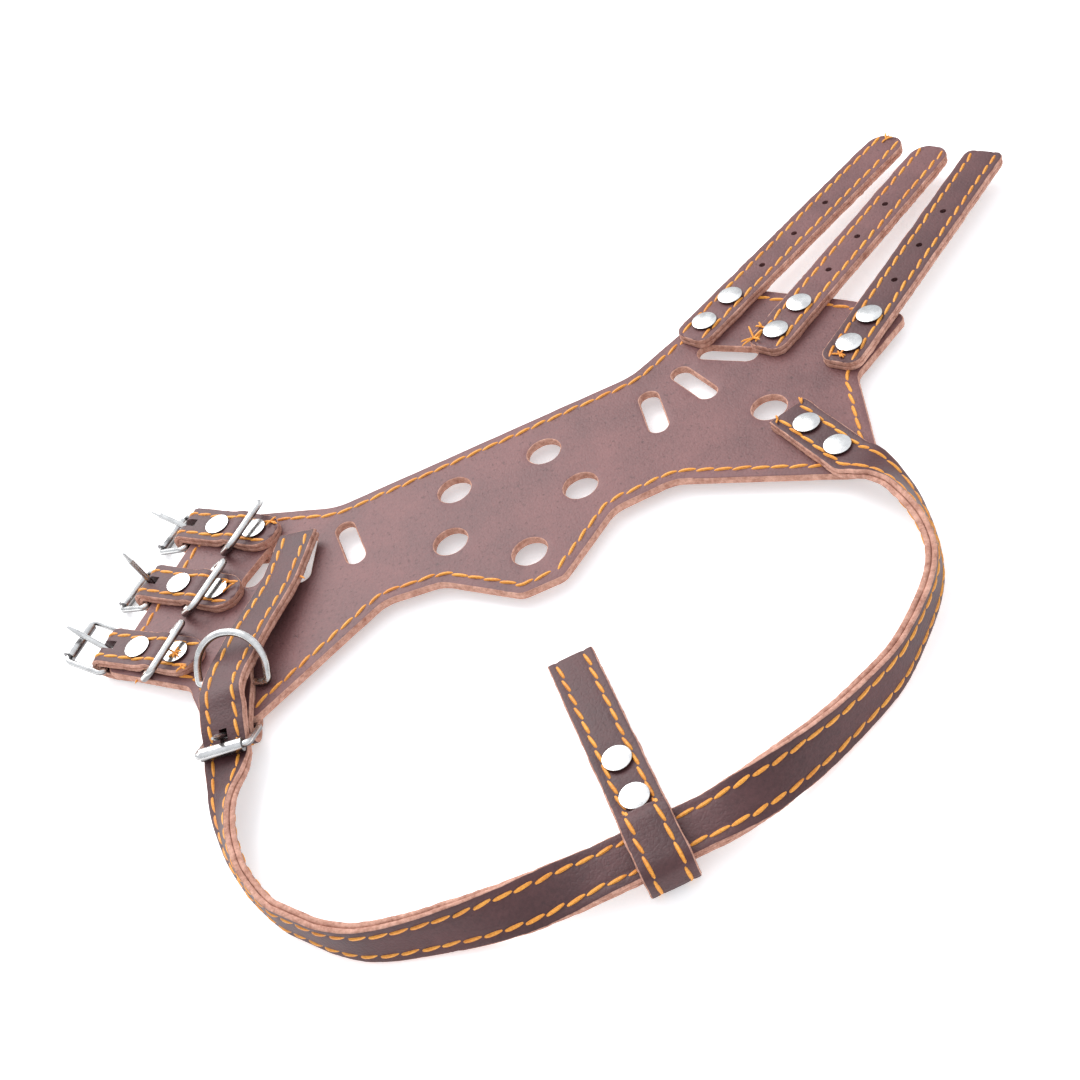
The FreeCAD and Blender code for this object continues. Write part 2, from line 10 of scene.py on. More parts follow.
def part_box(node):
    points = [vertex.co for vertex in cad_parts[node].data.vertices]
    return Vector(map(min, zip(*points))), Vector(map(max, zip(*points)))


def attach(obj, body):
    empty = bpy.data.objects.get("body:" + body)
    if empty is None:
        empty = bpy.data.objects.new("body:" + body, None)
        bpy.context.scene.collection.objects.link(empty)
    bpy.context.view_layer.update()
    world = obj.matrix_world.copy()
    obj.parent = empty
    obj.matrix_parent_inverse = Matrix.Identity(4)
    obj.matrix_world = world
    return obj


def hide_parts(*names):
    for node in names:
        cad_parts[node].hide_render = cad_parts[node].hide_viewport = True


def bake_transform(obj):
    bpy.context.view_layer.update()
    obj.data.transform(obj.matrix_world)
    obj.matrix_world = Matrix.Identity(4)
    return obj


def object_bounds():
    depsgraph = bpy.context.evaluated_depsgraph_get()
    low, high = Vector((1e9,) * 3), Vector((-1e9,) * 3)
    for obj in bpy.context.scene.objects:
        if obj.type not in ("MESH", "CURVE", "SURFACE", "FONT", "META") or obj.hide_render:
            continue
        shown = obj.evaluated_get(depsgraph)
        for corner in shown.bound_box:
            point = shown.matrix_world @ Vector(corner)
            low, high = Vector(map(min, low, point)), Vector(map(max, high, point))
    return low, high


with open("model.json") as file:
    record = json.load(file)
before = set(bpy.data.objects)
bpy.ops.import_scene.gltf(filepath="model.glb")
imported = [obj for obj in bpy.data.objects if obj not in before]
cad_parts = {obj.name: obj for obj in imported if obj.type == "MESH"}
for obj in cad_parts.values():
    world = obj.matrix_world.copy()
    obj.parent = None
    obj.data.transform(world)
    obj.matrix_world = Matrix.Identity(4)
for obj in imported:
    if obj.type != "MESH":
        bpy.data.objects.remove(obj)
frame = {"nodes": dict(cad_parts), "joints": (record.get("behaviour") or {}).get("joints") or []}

mm = 0.001
weld = 0.01 * mm
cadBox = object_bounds()
joints = {joint["name"]: joint for joint in frame["joints"]}
up = Vector((0, 0, 1))


def heading(degrees):
    return Vector((math.cos(math.radians(degrees)), math.sin(math.radians(degrees)), 0))


def only(piece):
    bpy.ops.object.select_all(action="DESELECT")
    piece.select_set(True)
    bpy.context.view_layer.objects.active = piece
    return piece


def copyOf(source):
    copied = source.copy()
    copied.data = source.data.copy()
    bpy.context.scene.collection.objects.link(copied)
    return copied


def joined(pieces, name):
    bpy.ops.object.select_all(action="DESELECT")
    for piece in pieces:
        piece.select_set(True)
    bpy.context.view_layer.objects.active = pieces[0]
    bpy.ops.object.join()
    pieces[0].name = name
    return pieces[0]


def faceOutward(piece):
    only(piece)
    bpy.ops.object.mode_set(mode="EDIT")
    bpy.ops.mesh.select_all(action="SELECT")
    bpy.ops.mesh.normals_make_consistent(inside=False)
    bpy.ops.object.mode_set(mode="OBJECT")


def markPoints(mesh, name, values):
    mark = mesh.attributes.new(name, "FLOAT", "POINT")
    mark.data.foreach_set("value", np.asarray(values, np.float32))


# camera, floor and light
studio = {
    "aim": (-19.9, 5.6, -4.7),       # from the middle of the box, mm
    "distance": 530.9,
    "azimuth": 2.3,
    "elevation": 41.93,
    "roll": -24.83,
    "lens": 53.7,
    "floorSize": 12.0,
    "floorGlow": 0.40,
    "floorColour": (0.93, 0.93, 0.94, 1),
    "floorPatch": (0.95, 0.95, 0.95, 1),
    "skyColour": (1.06, 1.10, 1.16, 1),
    "horizonColour": (0.55, 0.57, 0.60, 1),
    "skyStrength": 0.95,
    "lampPlace": (-0.45, 1.05, 1.15),        # from the target, metres
    "lampSize": 1.6,
    "lampPower": 26.0,
}


def makeCamera():
    low, high = (Vector(corner) for corner in cadBox)
    target = (low + high) / 2 + Vector(studio["aim"]) * mm
    turn, rise, roll = (math.radians(studio[key]) for key in ("azimuth", "elevation", "roll"))
    back = Vector((math.sin(turn) * math.cos(rise), -math.cos(turn) * math.cos(rise), math.sin(rise)))
    right = Vector((math.cos(turn), math.sin(turn), 0))
    above = back.cross(right)
    imageRight = right * math.cos(roll) + above * math.sin(roll)
    imageUp = above * math.cos(roll) - right * math.sin(roll)
    bpy.ops.object.camera_add()
    camera = bpy.context.object
    camera.name = "camera"
    camera.data.lens = studio["lens"]
    camera.data.sensor_width = 36.0
    camera.data.clip_start = 0.01
    turned = Matrix((imageRight, imageUp, back)).transposed().to_4x4()
    camera.matrix_world = Matrix.Translation(target + back * studio["distance"] * mm) @ turned
    bpy.context.scene.camera = camera
    return target


target = makeCamera()


# one socket of a material, with arithmetic
class Wire:
    def __init__(self, tree, socket=None):
        self.tree = tree
        self.socket = socket

    def node(self, kind, settings=None, values=None, output=0):
        made = self.tree.nodes.new(kind)
        for name, setting in (settings or {}).items():
            if name == "stops":
                stops = made.color_ramp.elements
                while len(stops) < len(setting):
                    stops.new(1.0)
                for stop, (place, shade) in zip(stops, setting):
                    stop.position = place
                    stop.color = (shade, shade, shade, 1)
            else:
                setattr(made, name, setting)
        for name, value in (values or {}).items():
            if isinstance(value, Wire):
                self.tree.links.new(value.socket, made.inputs[name])
            else:
                made.inputs[name].default_value = value
        return Wire(self.tree, made.outputs[output])

    def maths(self, operation, first, second):
        return self.node("ShaderNodeMath", {"operation": operation}, {0: first, 1: second})

    def __add__(self, other):
        return self.maths("ADD", self, other)

    __radd__ = __add__

    def __sub__(self, other):
        return self.maths("SUBTRACT", self, other)

    def __rsub__(self, other):
        return self.maths("SUBTRACT", other, self)

    def __mul__(self, other):
        return self.maths("MULTIPLY", self, other)

    __rmul__ = __mul__

    def blend(self, first, second):
        values = {0: self, 6: first, 7: second}
        return self.node("ShaderNodeMix", {"data_type": "RGBA", "clamp_factor": True}, values, 2)

    def ramp(self, *stops):
        return self.node("ShaderNodeValToRGB", {"stops": stops}, {0: self})


def surface(name, build, **fixed):
    made = bpy.data.materials.new(name)
    made.use_nodes = True
    tree = made.node_tree
    shader = next(node for node in tree.nodes if node.type == "BSDF_PRINCIPLED")
    for key, value in fixed.items():
        shader.inputs[key].default_value = value
    start = Wire(tree)
    coordinates = start.node("ShaderNodeTexCoord", output=3)
    for key, value in build(start, coordinates).items():
        tree.links.new(value.socket, shader.inputs[key])
    return made


def speckle(start, coordinates, scale, detail=3.0, rough=0.5):
    values = {"Vector": coordinates, "Scale": scale, "Detail": detail, "Roughness": rough}
    return start.node("ShaderNodeTexNoise", None, values)


def relief(start, strength, depth, height):
    return start.node("ShaderNodeBump", None, {"Strength": strength, "Distance": depth, "Height": height})


# scales are in waves per metre, depths in metres
leather = {
    "grainDark": (0.050, 0.0165, 0.018, 1),
    "grainLight": (0.114, 0.041, 0.042, 1),
    # painted sheen: a lighter copy of the same leather's colours, for pieces that catch the light
    "sheenLitDark": (0.120, 0.0465, 0.0465, 1),
    "sheenLitLight": (0.226, 0.097, 0.093, 1),
    "poreShade": (0.045, 0.016, 0.017, 1),
    "rawDark": (0.270, 0.095, 0.060, 1),
    "rawLight": (0.780, 0.450, 0.340, 1),
    "gloss": 0.42,
    "rawRoughness": 0.92,
    "patchScale": 45.0,
    "tuftScale": 190.0,
    "creaseScale": 520.0,
    "pitScale": 620.0,
    "fibreScale": 700.0,
    "fineScale": 900.0,
    "poreScale": 1250.0,
    "bumpStrength": 0.55,
    "bumpDepth": 0.22 * mm,
}


def leatherLook(start, at):
    patches = speckle(start, at, leather["patchScale"], 4.0, 0.6)
    pores = start.node("ShaderNodeTexVoronoi", {"feature": "SMOOTH_F1"},
                       {"Vector": at, "Scale": leather["poreScale"], "Smoothness": 0.6})
    fine = speckle(start, at, leather["fineScale"], 2.0)
    creases = start.node("ShaderNodeTexVoronoi", {"feature": "DISTANCE_TO_EDGE"},
                         {"Vector": at, "Scale": leather["creaseScale"]})
    grain = (patches * 0.7 + fine * 0.3).ramp((0.32, 0.0), (0.70, 1.0))
    # painted sheen: a per-piece attribute mixes the leather towards its lighter copy on pieces that catch
    # the light
    tone = start.node("ShaderNodeAttribute", {"attribute_name": "tone"}, None, 2)
    skin = tone.blend(grain.blend(leather["grainDark"], leather["grainLight"]),
                      grain.blend(leather["sheenLitDark"], leather["sheenLitLight"]))
    pits = speckle(start, at, leather["pitScale"], 3.0, 0.7).ramp((0.30, 1.0), (0.40, 0.0))
    skin = (pits * 0.55).blend(skin, leather["poreShade"])
    fibre = speckle(start, at, leather["fibreScale"], 6.0, 0.75)
    tufts = speckle(start, at, leather["tuftScale"], 4.0, 0.6)
    fuzz = (fibre * 0.6 + tufts * 0.4).ramp((0.33, 0.0), (0.66, 1.0))
    raw = fuzz.blend(leather["rawDark"], leather["rawLight"])
    edge = start.node("ShaderNodeAttribute", {"attribute_name": "rawEdge"}, None, 2)
    border = (edge + (tufts - 0.5) * 0.5).ramp((0.42, 0.0), (0.58, 1.0))
    height = (1 - border) * (pores * 0.6 + creases.ramp((0.0, 0.0), (0.12, 1.0)) * 0.25 + fine * 0.25)
    height = height - pits * 0.25 + border * (fibre * 2.6 + tufts * 1.4)
    bump = relief(start, leather["bumpStrength"], leather["bumpDepth"], height)
    smooth = leather["gloss"] + patches * 0.16 + fine * 0.06
    rough = (1 - border) * smooth + border * leather["rawRoughness"]
    return {"Base Color": border.blend(skin, raw), "Roughness": rough, "Normal": bump}


thread = {
    "dark": (0.62, 0.17, 0.014, 1),
    "light": (0.96, 0.43, 0.065, 1),
    "strandScale": 1500.0,
    "soilScale": 60.0,
    "bumpStrength": 0.6,
    "bumpDepth": 0.2 * mm,
}


def threadLook(start, at):
    strands = speckle(start, at, thread["strandScale"], 3.0, 0.6)
    soiled = speckle(start, at, thread["soilScale"], 2.0)
    shade = (strands * 0.6 + soiled * 0.4).ramp((0.3, 0.0), (0.62, 1.0))
    colour = shade.blend(thread["dark"], thread["light"])
    bump = relief(start, thread["bumpStrength"], thread["bumpDepth"], strands)
    return {"Base Color": colour, "Normal": bump, "Roughness": soiled * 0.2 + 0.45}


# painted shade: a face that looks sideways or down is darker, standing in for dark reflections, up to the
# height of its normal in "facing"
nickel = {
    "bright": (0.80, 0.79, 0.77, 1),
    "dull": (0.62, 0.61, 0.60, 1),
    "paintedShade": (0.16, 0.15, 0.15, 1),
    "facing": 0.42,
    "cloudScale": 260.0,
    "scratchScale": 2200.0,
    "bumpStrength": 0.10,
    "bumpDepth": 0.1 * mm,
}


def nickelLook(start, at):
    cloud = speckle(start, at, nickel["cloudScale"], 4.0, 0.6)
    scratches = speckle(start, at, nickel["scratchScale"], 2.0, 0.7)
    plate = cloud.ramp((0.35, 0.0), (0.6, 1.0)).blend(nickel["dull"], nickel["bright"])
    facing = start.node("ShaderNodeNewGeometry", None, None, 1)
    height = start.node("ShaderNodeSeparateXYZ", None, {0: facing}, 2)
    # painted shade: faces turned sideways or down are blended towards the dark colour
    colour = height.ramp((0.0, 1.0), (nickel["facing"], 0.0)).blend(plate, nickel["paintedShade"])
    bump = relief(start, nickel["bumpStrength"], nickel["bumpDepth"], cloud + scratches * 0.4)
    return {"Base Color": colour, "Roughness": cloud * 0.20 + scratches * 0.08 + 0.12, "Normal": bump}


leatherSurface = surface("brownLeather", leatherLook)
threadSurface = surface("goldThread", threadLook)
nickelSurface = surface("nickelPlate", nickelLook, Metallic=1.0)


def floorLook(start, at):
    shade = speckle(start, at, 3.0, 2.0)
    return {"Base Color": shade.blend(studio["floorColour"], studio["floorPatch"])}


def makeStudio():
    bpy.ops.mesh.primitive_plane_add(size=studio["floorSize"], location=(target.x, target.y, 0))
    floor = bpy.context.object
    floor.name = "floor"
    floor.data.transform(floor.matrix_world)
    floor.matrix_world = Matrix.Identity(4)
    glow = {"Roughness": 0.9, "Emission Color": (1, 1, 1, 1), "Emission Strength": studio["floorGlow"]}
    floor.data.materials.append(surface("paleFloor", floorLook, **glow))
    world = bpy.context.scene.world or bpy.data.worlds.new("studio")
    bpy.context.scene.world = world
    world.use_nodes = True
    sky = next(node for node in world.node_tree.nodes if node.type == "BACKGROUND")
    sky.inputs["Strength"].default_value = studio["skyStrength"]
    above = Wire(world.node_tree)
    height = above.node("ShaderNodeSeparateXYZ", None, {0: above.node("ShaderNodeTexCoord")}, 2)
    tint = height.ramp((0.0, 0.0), (0.75, 1.0)).blend(studio["horizonColour"], studio["skyColour"])
    world.node_tree.links.new(tint.socket, sky.inputs["Color"])
    bpy.ops.object.light_add(type="AREA", location=target + Vector(studio["lampPlace"]))
    lamp = bpy.context.object
    lamp.name = "key"
    lamp.data.shape = "DISK"
    lamp.data.size = studio["lampSize"]
    lamp.data.energy = studio["lampPower"]
    lamp.rotation_euler = (target - lamp.location).to_track_quat("-Z", "Y").to_euler()
    bpy.context.scene.view_settings.view_transform = "Standard"


makeStudio()
print("studio ready")


# a course is the middle line of a strap, with the directions across it and out of its grain side
def course(points, normals):
    points = np.array(points, float)
    normals = np.array(normals, float)
    along = np.gradient(points, axis=0)
    along /= np.linalg.norm(along, axis=1)[:, None]
    normals -= along * np.sum(normals * along, axis=1)[:, None]
    normals /= np.linalg.norm(normals, axis=1)[:, None]
    steps = np.linalg.norm(np.diff(points, axis=0), axis=1)
    distance = np.concatenate([[0.0], np.cumsum(steps)])
    return {"at": distance, "points": points, "normals": normals, "across": np.cross(normals, along),
            "along": along, "length": float(distance[-1])}


def lay(line, along, aside, height):
    given = [np.atleast_1d(np.asarray(value, float)) for value in (along, aside, height)]
    along, aside, height = np.broadcast_arrays(*given)
    inside = np.clip(along, 0, line["length"])
    points, across, normals, ahead = (
        np.stack([np.interp(inside, line["at"], line[key][:, axis]) for axis in range(3)], 1)
        for key in ("points", "across", "normals", "along"))
    beyond = (along - inside)[:, None]
    return points + across * aside[:, None] + normals * height[:, None] + ahead * beyond


def straight(start, end):
    count = 60
    return course([start.lerp(end, index / count) for index in range(count + 1)], [up] * (count + 1))


# a line in a standing plane: x runs out from origin, z is up, and the grain side lies right of travel
def bent(route, origin, outward):
    step = 1.0 * mm
    flat = [Vector(stop[:2]) for stop in route]
    points, normals = [], []

    def add(spot, direction):
        points.append(origin + outward * spot.x + up * spot.y)
        normals.append(outward * direction.y - up * direction.x)

    def run(first, last):
        direction = (last - first).normalized()
        count = max(2, int((last - first).length / step))
        for index in range(count):
            add(first.lerp(last, index / count), direction)

    here = flat[0]
    for before, corner, after, radius in zip(flat, flat[1:], flat[2:], [stop[2] for stop in route[1:]]):
        arriving = (corner - before).normalized()
        leaving = (after - corner).normalized()
        turn = math.atan2(arriving.x * leaving.y - arriving.y * leaving.x, arriving.dot(leaving))
        setback = radius * math.tan(abs(turn) / 2)
        start = corner - arriving * setback
        run(here, start)
        side = Vector((-arriving.y, arriving.x)) * math.copysign(1, turn)
        hub = start + side * radius
        count = max(4, int(abs(turn) / math.radians(9)))
        for index in range(count):
            angle = turn * index / count
            spin = Matrix.Rotation(angle, 2)
            add(hub - spin @ (side * radius), spin @ arriving)
        here = corner + leaving * setback
    run(here, flat[-1])
    add(flat[-1], (flat[-1] - here).normalized())
    return course(points, normals)


strap = {
    "width": 15.0 * mm,
    "ply": 1.8 * mm,
    "rowGap": 1.5 * mm,         # between cross-sections
    "seamAt": 0.60,             # share of the half-width
    "pitch": 6.0 * mm,
    "pull": 0.05,               # how far each stitch draws the groove in, as a share of the ply
    "fuzz": 0.24 * mm,          # how ragged a raw edge is, close up and over its length
    "waver": 0.30 * mm,
    "fray": 0.11 * mm,
    "hollow": 0.32 * mm,        # depth round a rivet
    "hollowInner": 4.0 * mm,
    "hollowOuter": 8.5 * mm,
    "tips": (0.0, 0.12 * mm, 0.4 * mm),
    "tipShares": (0.62, 0.86, 1.0),
    "tipRaw": 0.2 * mm,
}

# a ply's cross-section: share of the half-width, share of the ply's thickness, how raw
ringHalf = [(1.0, 0.70, 1), (0.985, 0.88, 1), (0.955, 0.965, 0.5), (0.90, 0.995, 0), (0.74, 0.985, 0),
            (strap["seamAt"], 0.84, 0), (0.46, 0.985, 0), (0.30, 1.0, 0), (0.12, 1.01, 0)]
ringInside = [(-0.985, 0.15, 1), (-0.94, 0.03, 1), (-0.45, 0.01, 0), (0.45, 0.01, 0), (0.94, 0.03, 1),
              (0.985, 0.15, 1), (1.008, 0.42, 1)]
ring = ringHalf + [(-share, level, raw) for share, level, raw in reversed(ringHalf)]
ring += [(-1.008, 0.42, 1)] + ringInside


def hollow(line, rivets, along, aside):
    sink = np.zeros_like(along)
    for place in rivets:
        away = np.hypot(along - place, aside)
        share = (strap["hollowOuter"] - away) / (strap["hollowOuter"] - strap["hollowInner"])
        sink += np.clip(share, 0, 1) ** 2 * strap["hollow"]
    return sink


def halfWidthAt(line, ends, along):
    half = np.full_like(along, strap["width"] / 2)
    for which, radius in enumerate(ends):
        away = along if which == 0 else line["length"] - along
        if radius:
            inset = radius - np.sqrt(np.clip(radius ** 2 - np.clip(radius - away, 0, radius) ** 2, 0, None))
            half = np.minimum(half, strap["width"] / 2 - inset)
    return np.maximum(half, 1.0 * mm)


# what lies under a strap lifts it; heights are from the line between its two plies
def raised(form, along, aside, height):
    swell = form.get("swell")
    if not swell:
        return height
    away = (along - swell["place"]) * math.cos(swell["slant"]) + aside * math.sin(swell["slant"])
    share = np.exp(-(away / fold["spread"]) ** 2)
    thick = strap["ply"]
    return height + share * np.interp(height, [-thick, 0, thick], fold["lift"])


def rowPlaces(line, ends):
    places = list(np.arange(2.0 * mm, line["length"] - 2.0 * mm, strap["rowGap"]))
    for which, radius in enumerate(ends):
        near = list(strap["tips"])
        if radius:
            near += [radius * (1 - math.cos(math.radians(angle))) for angle in range(16, 91, 8)]
        places += [place if which == 0 else line["length"] - place for place in near]
    places = sorted(places)
    kept = [places[0]]
    for place in places[1:]:
        if place - kept[-1] > 0.1 * mm:
            kept.append(place)
    kept[-1] = line["length"]
    return np.array(kept)


def closeEnds(piece):
    only(piece)
    bpy.ops.object.mode_set(mode="EDIT")
    bpy.ops.mesh.select_all(action="SELECT")
    bpy.ops.mesh.remove_doubles(threshold=weld)
    bpy.ops.mesh.select_all(action="DESELECT")
    bpy.ops.mesh.select_non_manifold(extend=False)
    bpy.ops.mesh.edge_face_add()
    bpy.ops.object.mode_set(mode="OBJECT")
    faceOutward(piece)


def ply(name, form, side):
    line = form["line"]
    seed = form["seed"]
    ends = form.get("ends", (0, 0))
    rows = rowPlaces(line, ends)
    columns = len(ring)
    bpy.ops.object.select_all(action="DESELECT")
    bpy.ops.mesh.primitive_grid_add(x_subdivisions=len(rows) - 1, y_subdivisions=columns, size=2)
    piece = bpy.context.object
    piece.name = name
    mesh = piece.data
    flat = np.empty(len(mesh.vertices) * 3, np.float32)
    mesh.vertices.foreach_get("co", flat)
    flat = flat.reshape(-1, 3)
    row = np.rint((flat[:, 0] + 1) / 2 * (len(rows) - 1)).astype(int)
    column = np.rint((flat[:, 1] + 1) / 2 * columns).astype(int) % columns
    shares, levels, raw = (np.array(values)[column] for values in zip(*ring))
    along = rows[row]
    away = np.minimum(along, line["length"] - along)
    pinch = np.interp(away, strap["tips"], strap["tipShares"])
    levels = 0.5 + (levels - 0.5) * pinch
    stitched = (np.abs(np.abs(shares) - strap["seamAt"]) < 0.01) & (levels > 0.5)
    levels = levels - stitched * strap["pull"] * np.cos(2 * math.pi * along / strap["pitch"])
    half = halfWidthAt(line, ends, along)
    aside = shares * half
    height = side * levels * strap["ply"]
    shown = form.get("shown", (1, 1))[0 if side > 0 else 1]
    if shown:
        sink = hollow(line, form.get("rivets", ()), along, aside)
        height = height - side * sink * np.clip(levels, 0, 1)
    edge = np.sign(shares)
    ragged = np.array([noise.noise(Vector((place * 700 + seed, lane * 0.9, side * 3.0 + seed)))
                       for place, lane in zip(along, column)])
    slow = np.array([noise.noise(Vector((place * 130 + seed, lane * 5.0, 7.0)))
                     for place, lane in zip(along, edge)])
    aside = aside + edge * raw * (ragged * strap["fuzz"] + slow * strap["waver"])
    height = height + raw * ragged * strap["fray"] * side
    height = raised(form, along, aside, height)
    mesh.vertices.foreach_set("co", lay(line, along, aside, height).astype(np.float32).ravel())
    markPoints(mesh, "rawEdge", np.maximum(raw, away < strap["tipRaw"]))
    mesh.update()
    closeEnds(piece)
    return piece


def cutterBox(middle, axes, sizes):
    bpy.ops.object.select_all(action="DESELECT")
    bpy.ops.mesh.primitive_cube_add(size=1)
    cutter = bpy.context.object
    turned = Matrix(axes).transposed().to_4x4()
    cutter.data.transform(Matrix.Translation(middle) @ turned @ Matrix.Diagonal((*sizes, 1)))
    return cutter


def cutterRod(middle, radius, depth):
    bpy.ops.object.select_all(action="DESELECT")
    bpy.ops.mesh.primitive_cylinder_add(vertices=24, radius=radius, depth=depth)
    cutter = bpy.context.object
    cutter.data.transform(Matrix.Translation(middle))
    return cutter


def carve(piece, cutter):
    markPoints(cutter.data, "rawEdge", np.ones(len(cutter.data.vertices)))
    only(piece)
    cut = piece.modifiers.new("cut", "BOOLEAN")
    cut.operation = "DIFFERENCE"
    cut.solver = "EXACT"
    cut.object = cutter
    bpy.ops.object.modifier_apply(modifier=cut.name)
    bpy.data.objects.remove(cutter)


def dress(piece, material, tone=None):
    # the share of painted sheen that the piece's leather gets
    if tone is not None:
        markPoints(piece.data, "tone", np.full(len(piece.data.vertices), tone))
    piece.data.materials.clear()
    piece.data.materials.append(material)
    only(piece)
    bpy.ops.object.shade_smooth_by_angle(angle=math.radians(50))
    return piece


# one stitch, lying along x, that every seam copies; its ends are plumper and dive into the leather
stitch = {
    "length": 6.7 * mm,
    "width": 1.2 * mm,
    "thick": 1.104 * mm,
    "dive": 0.60 * mm,
    "plump": 0.35,
    "sunk": 0.02 * mm,
    "slant": 8.0,
    "slantSpread": 4.0,
    "asideSpread": 0.14 * mm,
    "lengthSpread": (0.95, 1.04),
    "level": 0.93,              # of a seam, as a share of the ply's thickness
    "first": 1.6 * mm,          # from a strap's end to its first stitch
}
draws = random.Random(11)


def vary(amount):
    return draws.uniform(-amount, amount)


def makeStitch():
    bpy.ops.object.select_all(action="DESELECT")
    bpy.ops.mesh.primitive_uv_sphere_add(segments=6, ring_count=8, radius=1)
    made = bpy.context.object
    made.name = "stitch"
    only(made)
    bpy.ops.object.mode_set(mode="EDIT")
    bpy.ops.mesh.select_all(action="SELECT")
    bpy.ops.transform.rotate(value=math.radians(90), orient_axis="Y", center_override=(0, 0, 0))
    bpy.ops.transform.resize(value=(stitch["length"] / 2, stitch["width"] / 2, stitch["thick"] / 2))
    bpy.ops.object.mode_set(mode="OBJECT")
    for vertex in made.data.vertices:
        share = abs(vertex.co.x) / (stitch["length"] / 2)
        plump = 1 + stitch["plump"] * share ** 2
        vertex.co.y *= plump
        vertex.co.z = vertex.co.z * plump - stitch["dive"] * share ** 3
    return made


oneStitch = makeStitch()
stitchShape = np.array([vertex.co for vertex in oneStitch.data.vertices], float)


def seam(name, rows):
    made = []
    for form, aside, height, start, end, pitch in rows:
        count = max(1, round((end - start) / pitch))
        real = (end - start) / count
        for index in range(count):
            middle = start + (index + 0.5) * real
            stretch = real / strap["pitch"] * draws.uniform(*stitch["lengthSpread"])
            slant = math.tan(math.radians(stitch["slant"] + vary(stitch["slantSpread"])))
            shift = vary(stitch["asideSpread"])
            along = middle + stitchShape[:, 0] * stretch
            across = aside + shift + stitchShape[:, 1] + stitchShape[:, 0] * slant
            side = math.copysign(1, height)
            level = height - side * stitch["sunk"] + side * stitchShape[:, 2]
            level = raised(form, along, across, level)
            copied = copyOf(oneStitch)
            spots = lay(form["line"], along, across, level)
            copied.data.vertices.foreach_set("co", spots.astype(np.float32).ravel())
            made.append(copied)
    piece = joined(made, name)
    faceOutward(piece)
    return dress(piece, threadSurface)


# loose ends of thread: short lengths that lie any way round a spot and dip or rise a little, in degrees
loose = {"lengths": (0.6, 1.0), "dip": (-24, 4), "thin": 0.62, "offset": 0.42, "lift": 0.15 * mm}


def tuft(name, strands, body="harness", bend=None):
    made = []
    for form, along, aside, height, count, reach in strands:
        along = along if along >= 0 else form["line"]["length"] / mm + along
        spot = Vector(lay(form["line"], along * mm, aside * mm, height * mm)[0])
        for index in range(count):
            copied = copyOf(oneStitch)
            size = reach * mm * draws.uniform(*loose["lengths"])
            turn = Matrix.Rotation(draws.uniform(0, 2 * math.pi), 4, "Z")
            turn = turn @ Matrix.Rotation(math.radians(draws.uniform(*loose["dip"])), 4, "Y")
            shrink = Matrix.Diagonal((size / stitch["length"], loose["thin"], loose["thin"], 1))
            shift = Vector((size * loose["offset"], 0, loose["lift"]))
            copied.data.transform(Matrix.Translation(spot) @ turn @ Matrix.Translation(shift) @ shrink)
            made.append(copied)
    piece = joined(made, name)
    dress(piece, threadSurface)
    settle(piece, (), body, bend)


def settle(piece, nodes=(), body="harness", bend=None):
    if bend:
        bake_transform(piece)
    else:
        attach(piece, body)
    if nodes:
        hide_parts(*nodes)


def seamRows(form, faces=(1, -1), first=stitch["first"]):
    rows = []
    seamAside = strap["seamAt"] * strap["width"] / 2
    for side in faces:
        for aside in (seamAside, -seamAside):
            height = side * strap["ply"] * stitch["level"]
            rows.append((form, aside, height, first, form["line"]["length"] - first, strap["pitch"]))
    return rows


# a strap's two plies and its seams
def sew(name, form, nodes, body="harness", bend=None, cutters=(), seams=None):
    pieces = []
    for side, kind, slot in ((1, "face", "strap_leather"), (-1, "lining", "lining_leather")):
        piece = ply(f"{name}_{kind}_leather", form, side)
        for makeCutter in cutters:
            carve(piece, makeCutter())
        dress(piece, leatherSurface, form.get("tone", 0.0))
        settle(piece, nodes[kind], body, bend)
        pieces.append(piece)
    stitches = seam(f"{name}_stitches", seams or seamRows(form))
    settle(stitches, (), body, bend)
    if form.get("loose"):
        tuft(f"{name}_loose_thread", [(form, *spot) for spot in form["loose"]], body, bend)
    return pieces


def spread(node, direction):
    values = [vertex.co.dot(direction) for vertex in frame["nodes"][node].data.vertices]
    return min(values), max(values)


# panel: corners of its outline as x, y, radius in mm, which its seam follows
panel = {
    "corners": [(7.5, -48.3, 6), (31, -27.6, 10), (53, -26.5, 12), (106, -58.5, 4), (114.5, -52, 4),
                (123.5, -14.5, 6), (149.5, 3.5, 4), (137.7, 22.5, 30), (105, 57.5, 5), (56, 33.5, 20),
                (-59, 31.4, 20), (-107.2, 56.2, 4), (-151.5, -2, 3.5), (-122.5, -26, 6), (-118, -49, 4),
                (-101, -52, 5), (-51, -24.8, 12), (-31, -27.6, 10), (-7.5, -48.3, 6)],
    "bevel": 0.55 * mm,
    # the panel's leather gets the full painted sheen
    "tone": 1.0,
    "grid": 4.0 * mm,
    "inset": 4.0 * mm,
    "pitch": 6.3 * mm,
    "seamLevel": 0.06 * mm,
    "seamFirst": 1.0 * mm,
    "sag": 0.15 * mm,
    "fray": 0.10 * mm,
}


def panelEdge():
    spots = []
    corners = [(Vector((x, y)) * mm, radius * mm) for x, y, radius in panel["corners"]]
    for index, (here, radius) in enumerate(corners):
        before = (corners[index - 1][0] - here).normalized()
        after = (corners[(index + 1) % len(corners)][0] - here).normalized()
        half = before.angle(after) / 2
        setback = radius / math.tan(half)
        hub = here + (before + after).normalized() * (radius / math.sin(half))
        first = here + before * setback - hub
        last = here + after * setback - hub
        turn = first.angle_signed(last)
        count = 8
        for step in range(count + 1):
            spots.append(hub + Matrix.Rotation(-turn * step / count, 2) @ first)
    dense = []
    for first, last in zip(spots, spots[1:] + spots[:1]):
        count = max(1, int((last - first).length / mm))
        dense += [first.lerp(last, step / count) for step in range(count)]
    return dense


